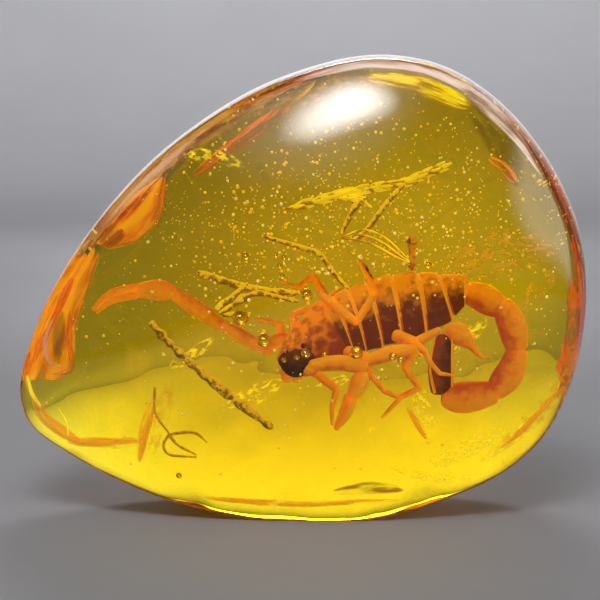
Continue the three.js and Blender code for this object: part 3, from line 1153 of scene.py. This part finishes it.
@dataclass
class FlowMarks:
    """The coloured marks near the rims, and the crumpled golden ones low in the piece: many of the tip and
    rim marks paint reflected light, sheen and glow, and the crumples paint glints.
    """

    sight: Sight

    MARKS = (
        FlowMark(
            "upper_pocket", Stain.FLAME, -2.0,
            ((-25.8, 33.2), (-23.4, 36.2), (-20.9, 39.1), (-17.2, 41.6)),
            ((-23.9, 32.1), (-19.8, 33.3), (-17.4, 36.3), (-16.9, 40.9)),
        ),
        FlowMark(
            "pocket_shade", Stain.BROWN, -2.6,
            ((-25.6, 33.6), (-24.6, 34.9), (-23.6, 36.0)), ((-24.0, 32.3), (-22.6, 32.9), (-21.3, 34.2)),
        ),
        # Painted reflection: the tip marks, down to tip_thread, paint the orange, red, pink and yellow of
        # light reflected and bent in the thin tip.
        FlowMark(
            "tip", Stain.FLAME, -2.0,
            ((-25.8, 33.0), (-29.6, 27.6), (-32.3, 22.6), (-34.0, 18.5), (-34.7, 15.8)),
            ((-24.7, 31.6), (-26.3, 27.0), (-27.7, 22.9), (-28.2, 19.0), (-29.4, 15.9)),
        ),
        FlowMark.band(
            "tip_rim", Stain.FLAME, -1.0, 1.5,
            (-26.6, 32.0), (-30.4, 25.8), (-33.0, 20.4), (-34.4, 15.6),
        ),
        FlowMark.band("tip_shade", Stain.EMBER, -2.4, 0.9, (-28.4, 28.8), (-31.4, 23.2), (-33.4, 18.0)),
        FlowMark.band(
            "tip_inner", Stain.EMBER, -3.4, 0.5,
            (-28.9, 24.8), (-28.9, 21.0), (-28.8, 17.4), (-31.2, 16.6),
        ),
        FlowMark(
            "tip_pocket", Stain.OLIVE, -3.6,
            ((-29.9, 24.9), (-31.5, 21.2), (-31.0, 17.8)), ((-29.4, 24.6), (-29.2, 20.8), (-29.6, 17.9)),
        ),
        FlowMark.band(
            "tip_line", Stain.ROSE, -4.2, 0.35,
            (-30.6, 24.3), (-31.9, 21.0), (-31.6, 18.4), (-30.0, 17.5),
        ),
        FlowMark.band("tip_light", Stain.YELLOW, -3.0, 0.6, (-34.3, 16.6), (-33.9, 14.4), (-32.6, 12.4)),
        FlowMark.band(
            "tip_curl", Stain.ORANGE, -2.0, 0.9,
            (-33.9, 14.4), (-32.3, 11.4), (-29.8, 9.2), (-27.2, 7.6),
        ),
        FlowMark.band("tip_thread", Stain.YELLOW, -4.0, 0.2, (-30.6, 12.8), (-29.5, 10.8), (-29.3, 8.8)),
        FlowMark.band("pocket_edge", Stain.EMBER, -3.0, 0.4, (-18.0, 34.9), (-17.1, 37.5), (-16.8, 41.4)),
        # Painted reflection: the pink band along the upper left rim.
        FlowMark.band(
            "upper_rim", Stain.ROSE, -1.0, 1.1,
            (-27.6, 31.0), (-24.4, 35.6), (-18.6, 41.8), (-12.0, 46.4), (-5.0, 50.2), (0.0, 52.4),
        ),
        # Painted sheen: the pale band along the top rim.
        FlowMark.band(
            "top_rim", Stain.PALE, -7.0, 1.4,
            (-2.0, 53.0), (6.0, 55.0), (12.6, 54.9), (18.8, 52.7), (23.4, 49.4), (27.4, 45.2), (30.0, 41.2),
        ),
        # Painted glint on a crumpled mark.
        FlowMark.band("upper_gold", Stain.CRUMPLE, -3.2, 1.0, (-14.6, 43.6), (-11.0, 44.0), (-7.0, 42.4)),
        FlowMark.band("upper_streak", Stain.EMBER, -2.5, 1.0, (-13.5, 41.4), (-6.4, 46.6), (-1.4, 50.2)),
        # upper_glint and top_light paint a glint and the yellow glow of light reflected inside the top rim.
        FlowMark.band("upper_glint", Stain.YELLOW, -2.7, 0.3, (-1.4, 50.2), (0.4, 51.6), (1.6, 53.0)),
        FlowMark.band("top_light", Stain.YELLOW, -2.0, 1.5, (7.6, 53.6), (14.4, 52.4), (20.6, 49.8)),
        FlowMark.band("top_orange", Stain.CLOUD, -3.0, 1.6, (-4.0, 48.6), (3.0, 52.0), (11.0, 52.6)),
        FlowMark.band("left_band", Stain.ORANGE, -4.0, 0.8, (-29.5, 8.2), (-23.7, 8.0), (-19.4, 8.2)),
        FlowMark.band("left_streak", Stain.ORANGE, -4.5, 0.8, (-20.4, 5.4), (-19.8, 9.4), (-18.6, 13.4)),
        FlowMark.band("left_glow", Stain.CLOUD, -4.7, 1.3, (-18.9, 6.4), (-17.9, 11.0), (-16.2, 15.8)),
        # Painted rim glow: right_rim, right_rim_core and right_edge paint the orange of light reflected
        # inside the right rim.
        FlowMark.band(
            "right_rim", Stain.CLOUD, -2.0, 1.2,
            (34.0, 20.4), (32.8, 16.4), (30.8, 13.2), (28.2, 10.4), (25.4, 8.0), (22.0, 5.4),
        ),
        FlowMark.band(
            "right_rim_core", Stain.ORANGE, -2.3, 0.5,
            (32.2, 15.2), (30.0, 12.2), (27.0, 9.2), (24.0, 6.9),
        ),
        FlowMark.band(
            "right_edge", Stain.EMBER, 0.0, 0.5,
            (34.2, 31.0), (34.4, 25.0), (33.6, 18.4), (31.6, 13.4),
        ),
        # Painted reflection: the foot band and foot lens paint the reflection of the dark contact under the
        # piece.
        FlowMark.band("foot", Stain.ORANGE, -5.0, 0.5, (-12.5, 1.0), (-6.0, 0.4), (2.0, 0.2), (12.5, 0.7)),
        FlowMark.band("foot_lens", Stain.BROWN, -5.0, 0.9, (3.8, 1.8), (8.2, 2.2), (12.8, 2.0)),
        FlowMark.band("right_cloud", Stain.CLOUD, -6.0, 3.6, (16.6, 28.6), (24.0, 31.8), (32.0, 32.4)),
        FlowMark.band("right_wisp", Stain.CLOUD, -5.0, 1.6, (26.0, 23.0), (28.6, 27.2), (31.8, 29.6)),
        FlowMark.band("right_flame", Stain.ORANGE, -5.0, 1.0, (22.8, 43.6), (24.6, 42.4), (26.2, 40.5)),
        # Painted shade: the darker olive of the upper right corner.
        FlowMark.band("upper_corner", Stain.OLIVE, -4.0, 2.4, (20.6, 51.4), (23.6, 47.0), (26.8, 40.0)),
    )
    # The crumpled marks low in the piece: depth, half width and middle line. Their bright golden colour and
    # glow paint the glints of crumpled cracks.
    CRUMPLES = (
        (-5.0, 1.6, ((-9.6, 12.6), (-6.0, 14.0), (-2.0, 15.8))),
        (-6.5, 0.9, ((1.4, 15.2), (4.0, 15.8), (6.0, 16.4))),
        (-7.0, 0.7, ((9.8, 18.6), (12.6, 18.9), (15.4, 19.2))),
        (-6.0, 1.4, ((14.2, 15.4), (15.0, 12.6), (16.2, 9.6))),
        (-4.5, 1.5, ((15.6, 5.2), (20.6, 7.2), (25.4, 9.8))),
        (-3.0, 0.7, ((11.0, 4.9), (16.0, 3.6), (21.6, 3.4))),
        (-5.0, 1.0, ((-16.6, 17.6), (-14.0, 18.8), (-11.0, 21.4))),
        (-5.5, 1.1, ((18.0, 19.4), (20.6, 21.4), (22.8, 23.4))),
    )
    VEIN = FlowMark.band("vein", Stain.ORANGE, -4.0, 0.5, (13.0, 12.6), (14.4, 10.4), (15.6, 8.4))

    def build(self) -> None:
        """Builds the marks."""
        finishes = {stain: stain.value.material() for stain in Stain}
        crumples = [
            FlowMark.band(f"crumple_{number}", Stain.CRUMPLE, y, half, *places)
            for number, (y, half, places) in enumerate(self.CRUMPLES, start=1)
        ]
        for mark in (*self.MARKS, *crumples, self.VEIN):
            mark.build(self.sight, finishes[mark.stain])


# ---------------------------------------------------------------- plant debris


class Matter(Enum):
    """The plants' finishes."""

    # The light colours are also painted highlights on upper sides and scale tips; each finish has a painted
    # glow.
    BARK = PlantFinish("bark", (0.24, 0.13, 0.012), (1.0, 0.68, 0.06), 0.5, painted_top_light=0.16)
    TWIG = PlantFinish("twig", (0.26, 0.14, 0.012), (1.0, 0.78, 0.08), 0.5, 0.0006, 0.35, 0.2)
    GOLDEN = PlantFinish("golden_scale", (0.36, 0.22, 0.015), (1.0, 0.88, 0.12), 0.75, 0.0014, 0.4, 0.08, 0.7)
    BUD = PlantFinish("bud", (0.10, 0.02, 0.006), (0.5, 0.18, 0.02), 0.52)
    BUD_SCALE = PlantFinish("bud_scale", (0.16, 0.05, 0.008), (0.8, 0.42, 0.04), 0.5, 0.0008)
    THREAD = PlantFinish("thread", (0.5, 0.28, 0.02), (0.8, 0.55, 0.05))


@dataclass
class PlantDebris:
    """Sticks, twigs, a scaly branchlet, a leaf husk, buds and a curled thread.

    Attributes:
        sight: finds the real places.
        scale_spacing: how far the branchlet's pairs of scales lie apart.
        scale_reach: how far a scale's root and tip lie from its middle, along the stem.
    """

    sight: Sight
    scale_spacing: float = 0.75 * MM
    scale_reach: float = 1.0 * MM

    def __post_init__(self) -> None:
        """Builds the finishes once."""
        self.finish = {matter: matter.value.material() for matter in Matter}

    def build(self) -> None:
        """Builds every plant piece."""
        self._wood()
        self._branchlet()
        self._stems_and_buds()
        self._husk()
        self._thread()

    def _grow(self, name: str, matter: Matter, *limbs: tuple, **shape: object) -> None:
        """Joins several plant limbs, each given by its (x, z, y) places and its radii, in one piece."""
        grown = Grown()
        for places, radii in limbs:
            grown.limb(self.sight.path(*places), radii, **shape)
        grown.done(name, self.finish[matter])

    def _wood(self) -> None:
        """The dark rough stick, and the cluster of forked twigs."""
        stick = (
            (-18.7, 23.1, -7.0), (-16.3, 20.4, -7.0), (-13.6, 17.8, -7.2),
            (-10.8, 15.4, -7.4), (-8.0, 13.1, -7.5), (-3.9, 10.0, -7.5),
        )
        radii = (0.42, 0.5, 0.44, 0.54, 0.5, 0.58, 0.36)
        self._grow("stick", Matter.BARK, (stick, radii), steps=80, wobble=0.8)
        twigs = (
            (((-12.8, 29.4, -4.2), (-10.2, 28.6, -4.2), (-7.8, 27.8, -4.0),
              (-4.9, 27.3, -3.6), (-0.9, 26.9, -3.2)), (0.36, 0.48, 0.46, 0.38, 0.32)),
            (((-10.2, 24.4, -5.0), (-8.4, 25.5, -4.8), (-6.9, 26.5, -4.6), (-5.2, 26.9, -4.4),
              (-3.0, 26.4, -4.2), (-0.7, 25.9, -4.0)), (0.3, 0.4, 0.42, 0.36, 0.34, 0.22)),
            (((-10.6, 25.0, -4.7), (-8.6, 26.5, -4.5), (-6.8, 28.1, -4.2)), (0.34, 0.36, 0.22)),
            (((-9.8, 24.2, -4.9), (-8.2, 24.2, -4.7), (-6.6, 24.0, -4.6)), (0.34, 0.28, 0.16)),
        )
        self._grow("twig_cluster", Matter.TWIG, *twigs, steps=34, wobble=0.6)

    def _branchlet(self) -> None:
        """The scaly branchlet: a stem hidden by leaf scales in crossed pairs, and two bare side shoots."""
        main = self.sight.path(
            (-1.2, 37.5, -3.0), (2.8, 38.6, -3.0), (5.4, 39.3, -2.8), (9.1, 40.0, -2.6),
            (12.1, 40.4, -2.4), (14.8, 41.5, -2.2), (17.5, 42.6, -2.0),
        )
        side = self.sight.path((5.0, 38.6, -2.9), (6.6, 38.6, -2.9), (7.8, 38.0, -2.9))
        grown = Grown()
        grown.limb(main, (0.2, 0.24, 0.24, 0.2, 0.14), steps=24)
        self._scales(grown, main, 0.36)
        self._scales(grown, side, 0.3)
        grown.done("scaly_branchlet", self.finish[Matter.GOLDEN])
        shoot = ((6.4, 33.6, -2.8), (7.8, 34.6, -2.8), (10.1, 37.7, -2.6), (12.3, 40.2, -2.5))
        knob = ((4.9, 34.4, -2.6), (6.1, 37.0, -2.7), (7.4, 38.6, -2.7))
        limbs = (shoot, (0.26, 0.3, 0.28)), (knob, (0.24, 0.34, 0.4))
        self._grow("branchlet_shoots", Matter.TWIG, *limbs, steps=18, wobble=0.3)

    def _scales(self, grown: Grown, path: Sequence[Vector], radius: float) -> None:
        """Sets leaf scales along a stem, alternately at its sides and at its front and back.

        Args:
            grown: the mesh to add to.
            path: the stem's middle line.
            radius: how far the scales' middles lie from it, in millimetres.
        """
        length = sum((b - a).length for a, b in zip(path, path[1:]))
        count = int(length / self.scale_spacing)
        for number in range(count):
            share = (number + 0.5) / count
            at = through(path, share)
            along = (through(path, min(share + 0.02, 1)) - through(path, max(share - 0.02, 0))).normalized()
            side = TOWARDS_VIEWER.cross(along).normalized()
            across = side if number % 2 else along.cross(side)
            for out in (across * radius * MM, across * -radius * MM):
                root = at + out * 0.3 - along * self.scale_reach
                tip = at + out * 1.25 + along * self.scale_reach
                radii = (radius * 0.5, radius * 0.72, radius * 0.3)
                grown.limb([root, at + out * 0.95, tip], radii, 0.6, 5, sides=8)

    def _stems_and_buds(self) -> None:
        """A thin bent stem behind the scorpion, a short upright one, a slender bud and a lumpy one."""
        bent = (
            (-4.6, 33.9, -2.2), (-0.2, 32.6, -2.4), (2.1, 31.7, -2.8), (3.9, 29.4, -3.2), (5.8, 27.2, -3.6),
        )
        upright = ((-8.5, 35.6, -1.0), (-8.5, 34.6, -1.0), (-8.4, 33.4, -1.0))
        slender = ((7.0, 30.9, -6.0), (7.8, 29.8, -6.0), (8.6, 28.6, -6.2))
        self._grow("bent_stem", Matter.TWIG, (bent, (0.18, 0.3, 0.28, 0.3, 0.22)), steps=26, wobble=0.4)
        self._grow("short_stem", Matter.TWIG, (upright, (0.1, 0.09, 0.05)), steps=6)
        self._grow("slender_bud", Matter.BUD, (slender, (0.2, 0.42, 0.25)), steps=8, wobble=0.3)
        lumps = []
        for number in range(6):
            drop = 0.62 * number
            places = ((13.5, 33.6 - drop, -3.0), (13.6, 33.1 - drop, -3.0))
            lumps.append((places, (0.4, 0.62 - 0.04 * number, 0.35)))
        self._grow("lumpy_bud", Matter.BUD_SCALE, *lumps, steps=4, wobble=0.5)

    def _husk(self) -> None:
        """The narrow leaf husk: a cloudy blade with three ribs."""
        root, tip = (4.7, 33.7, -3.4), (13.4, 30.6, -3.2)
        upper = (root, (7.4, 34.8, -3.6), (10.0, 33.9, -3.6), (12.0, 32.2, -3.4), tip)
        lower = (root, (7.2, 33.4, -3.8), (9.3, 32.7, -3.8), (11.4, 31.5, -3.6), tip)
        middle = (root, (7.3, 34.1, -4.2), (9.7, 33.3, -4.2), (11.7, 31.9, -3.9), tip)
        ribs = [(places, (0.06, 0.13, 0.13, 0.1, 0.05)) for places in (upper, lower, middle)]
        self._grow("husk_ribs", Matter.GOLDEN, *ribs, steps=22, sides=6)
        edges = [tuple(place[:2] for place in rib) for rib in (upper, lower)]
        FlowMark("husk_blade", Stain.CLOUD, -3.2, *edges).build(self.sight, Stain.CLOUD.value.material())

    def _thread(self) -> None:
        """The curled thread with a loop and a branch, all at one depth."""
        strands = (
            ((-18.4, 15.0), (-18.5, 12.4), (-18.1, 11.2), (-16.6, 9.1)),
            ((-16.6, 9.1), (-13.6, 9.3), (-12.0, 8.1)),
            ((-16.6, 9.1), (-17.4, 7.8), (-16.9, 6.6), (-15.3, 6.3), (-13.3, 6.2)),
            ((-16.6, 9.0), (-15.6, 7.7), (-13.3, 6.5)),
        )
        radii = (0.2, 0.18, 0.16, 0.12)
        limbs = [([(x, z, -4.6) for x, z in strand], radii) for strand in strands]
        self._grow("thread", Matter.THREAD, *limbs, steps=22, sides=8, wobble=0.3)


# ---------------------------------------------------------------- bubbles


@dataclass
class Bubbles:
    """Gas bubbles: a few large ones, and hundreds of very small ones."""

    sight: Sight
    count: int = 2000
    margin: float = 0.9 * MM
    seed: int = 7
    smallest: float = 0.06 * MM
    growth: float = 0.15 * MM

    # The large bubbles: seen place, depth and radius.
    LARGE = (
        (0.4, 19.3, -10.7, 0.55), (6.7, 19.4, -10.9, 0.8),
        (-2.3, 18.5, -10.6, 0.32), (-0.7, 18.8, -10.7, 0.3),
        (2.8, 19.2, -9.8, 0.32), (-0.5, 16.6, -9.0, 0.28), (15.5, 30.4, -5.0, 0.42), (-3.3, 31.6, -4.0, 0.28),
        (-2.3, 31.4, -4.0, 0.28), (-2.8, 30.3, -4.2, 0.3), (-2.5, 29.0, -4.2, 0.3), (-7.7, 23.8, -6.0, 0.9),
        (-4.8, 21.0, -6.4, 0.8), (0.5, 26.7, -6.0, 0.7), (-7.0, 31.5, -4.0, 0.45), (-15.5, 3.8, -3.0, 0.35),
        (11.2, 18.9, -10.9, 0.5), (12.2, 18.6, -10.8, 0.45),
    )

    def build(self) -> None:
        """Builds the large and the small bubbles, each as one joined mesh."""
        large = bmesh.new()
        for x, z, y, radius in self.LARGE:
            place = Matrix.Translation(self.sight.at(x, z, y))
            bmesh.ops.create_icosphere(large, subdivisions=4, radius=radius * MM, matrix=place)
        shade_smooth(large)
        finished("large_bubbles", large, BubbleFinish("bubble_wall", 0.03, 0.45, clear=1.0).material())
        chance = random.Random(self.seed)
        small, ball = bmesh.new(), bmesh.new()
        bmesh.ops.create_icosphere(ball, subdivisions=2, radius=1)
        ball.verts.index_update()
        made = 0
        while made < self.count:
            x, z, y = chance.uniform(-32, 33), chance.uniform(3, 53), chance.uniform(-13, 9)
            radius = self.smallest + self.growth * chance.random() ** 3
            place = self.sight.at(x, z, y)
            if chance.random() > self._crowd(x, z) or self.sight.depth_inside(place) < self.margin:
                continue
            corners = [small.verts.new(place + vert.co * radius) for vert in ball.verts]
            for face in ball.faces:
                small.faces.new([corners[vert.index] for vert in face.verts])
            made += 1
        ball.free()
        shade_smooth(small)
        # The small bubbles get a painted glow that makes them bright dots.
        wall = BubbleFinish("fine_bubble_wall_painted_glow", 0.15, 0.5, 0.36, tint=(1.0, 0.85, 0.3))
        finished("small_bubbles", small, wall.material())

    @staticmethod
    def _crowd(x: float, z: float) -> float:
        """How likely a small bubble is at this place: they crowd in the upper middle."""
        return math.exp(-(((z - 35) / 11) ** 2) - ((x - 7) / 24) ** 2) + 0.08


# ---------------------------------------------------------------- the studio


@dataclass(frozen=True)
class Softbox:
    """An oval area light that fades out towards its edge.

    Attributes:
        name: its name.
        azimuth: where it stands, in degrees, counted from the front, positive to the right.
        elevation: how high it stands, in degrees.
        distance: how far it stands from its aim, in metres.
        width: its size in metres.
        height: the same, upwards.
        radiance: how bright its middle is.
        core: how much of it is that bright, as a share of its size.
        aim: the point that it looks at, in metres.
        spread: how wide it shines, in degrees.
    """

    name: str
    azimuth: float
    elevation: float
    distance: float
    width: float
    height: float
    radiance: float
    core: float = 0.15
    aim: tuple[float, float, float] = (0.005, 0.0, 0.03)
    spread: float = 180.0

    def build(self) -> None:
        """Adds the light."""
        side, rise = math.radians(self.azimuth), math.radians(self.elevation)
        arm = Vector(
            (math.sin(side) * math.cos(rise), -math.cos(side) * math.cos(rise), math.sin(rise))
        )
        data = bpy.data.lights.new(self.name, "AREA")
        data.shape = "ELLIPSE"
        data.size, data.size_y = self.width, self.height
        data.energy = math.pi * math.pi / 4 * self.width * self.height
        data.spread = math.radians(self.spread)
        data.use_nodes = True
        g = Nodes(data.node_tree)
        emission = next(node for node in g.tree.nodes if node.type == "EMISSION")
        reach = g.node("ShaderNodeVectorMath", operation="DISTANCE")
        g.feed(reach.inputs[0], g.node("ShaderNodeNewGeometry").outputs["Parametric"])
        g.feed(reach.inputs[1], (0.5, 0.5, 0.0))
        fade = g.ranged(reach.outputs["Value"], 0.5 * self.core, 0.5, self.radiance, 0.0)
        g.feed(emission.inputs["Strength"], fade)
        lamp = placed(self.name, data)
        lamp.location = Vector(self.aim) + arm * self.distance
        lamp.rotation_euler = (-arm).to_track_quat("-Z", "Y").to_euler()


@dataclass
class Studio:
    """The floor, the lights and the camera."""

    SOFTBOXES = (
        Softbox("key", -8, 50, 0.35, 0.25, 0.13, 21.0),
        Softbox("sky", -14, 54, 0.36, 0.52, 0.42, 2.2, 0.1),
        Softbox("rear", 180, 42, 0.45, 0.30, 0.11, 25.0, 0.3),
        Softbox("back", 180, 0, 0.40, 0.96, 0.46, 0.44, 0.15, (0.0, 0.0, 0.147), 140.0),
        Softbox("back_twin", 0, 0, 0.40, 0.96, 0.46, 0.44, 0.15, (0.0, 0.8, 0.147), 140.0),
        Softbox("pool", 180, 85, 0.24, 0.08, 0.14, 3.0, 0.3, (0.0, 0.18, 0.0), 40.0),
        Softbox("far_pool", 180, 85, 0.20, 0.10, 0.26, 1.8, 0.3, (0.0, 0.32, 0.0), 44.0),
        Softbox("far_floor", 0, 20, 0.42, 1.4, 0.16, 5.6, 0.3, (0.0, 0.65, 0.14)),
        Softbox("backdrop", 0, 8, 0.42, 1.6, 0.16, 8.0, 0.3, (0.0, 0.65, 0.26), 110.0),
        Softbox("right", 78, 15, 0.40, 0.40, 0.27, 2.6, 0.6),
        Softbox("left", -70, 34, 0.40, 0.14, 0.24, 3.5),
    )

    surroundings: Colour = (0.12, 0.121, 0.13)
    floor_half: float = 0.8
    floor_middle: float = -0.3
    bend: float = 0.15
    wall: float = 0.4
    sunk: float = 0.05 * MM
    lens: float = 100.0
    sensor: float = 36.0
    elevation: float = math.radians(7.5)
    aim: Vector = field(default_factory=lambda: Vector((-0.3, 0, 26.1)) * MM)
    distance: float = 205.8 * MM

    @property
    def eye(self) -> Vector:
        """Where the camera stands."""
        return self.aim + self._back * self.distance

    @property
    def _back(self) -> Vector:
        """From the aim towards the camera."""
        return Vector((0, -math.cos(self.elevation), math.sin(self.elevation)))

    def build(self) -> None:
        """Makes the stage."""
        self._floor()
        world = bpy.data.worlds.new("studio")
        bpy.context.scene.world = world
        world.use_nodes = True
        world.node_tree.nodes["Background"].inputs["Color"].default_value = (*self.surroundings, 1)
        for box in self.SOFTBOXES:
            box.build()
        self._camera()

    def _floor(self) -> None:
        """A pale floor that bends up into a backdrop behind the object."""
        bm = bmesh.new()
        front = bmesh.ops.create_grid(bm, x_segments=1, y_segments=1, size=self.floor_half)["verts"]
        bmesh.ops.translate(bm, verts=front, vec=(0, self.floor_middle, -self.sunk))
        rear = [edge for edge in bm.edges if all(vert.co.y > self.floor_middle for vert in edge.verts)]
        centre = (0, self.floor_middle + self.floor_half, self.bend - self.sunk)
        swept = bmesh.ops.spin(bm, geom=rear, cent=centre, axis=(1, 0, 0), angle=math.radians(90), steps=24)
        edges = [item for item in swept["geom_last"] if isinstance(item, bmesh.types.BMEdge)]
        top = bmesh.ops.extrude_edge_only(bm, edges=edges)["geom"]
        verts = [item for item in top if isinstance(item, bmesh.types.BMVert)]
        bmesh.ops.translate(bm, verts=verts, vec=(0, 0, self.wall))
        shade_smooth(bm)
        mesh = bpy.data.meshes.new("floor")
        bm.to_mesh(mesh)
        bm.free()
        floor = placed("floor", mesh)
        g = Graph("pale_floor")
        patches, grain = g.mottled(0.05, 0.0015)
        g.set(Base_Color=g.mixed(patches, (0.205, 0.205, 0.215), (0.225, 0.225, 0.237)))
        g.set(Roughness=0.7, Specular_IOR_Level=0.08)
        g.bump(grain, 0.15, 0.0002)
        mesh.materials.append(g.material)

    def _camera(self) -> None:
        """Adds the camera."""
        data = bpy.data.cameras.new("camera")
        data.lens = self.lens
        data.sensor_width = self.sensor
        data.clip_start = 5 * MM
        camera = placed("camera", data)
        camera.location = self.eye
        camera.rotation_euler = (-self._back).to_track_quat("-Z", "Y").to_euler()
        bpy.context.scene.camera = camera


def main() -> None:
    """Builds everything in order."""
    logging.basicConfig(level=logging.INFO, format="%(message)s")
    studio = Studio()
    shape = ResinPiece()
    resin = shape.build(ResinFinish().material())
    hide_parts(RESIN_NODE)
    bpy.context.view_layer.update()
    sight = Sight(resin, studio.eye, shape.girdle_y)
    Scorpion(sight).build()
    PlantDebris(sight).build()
    Bubbles(sight).build()
    FlowMarks(sight).build()
    studio.build()
    bpy.context.scene.view_settings.view_transform = "Standard"
    bpy.context.view_layer.update()
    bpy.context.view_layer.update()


if __name__ == "__main__":
    main()
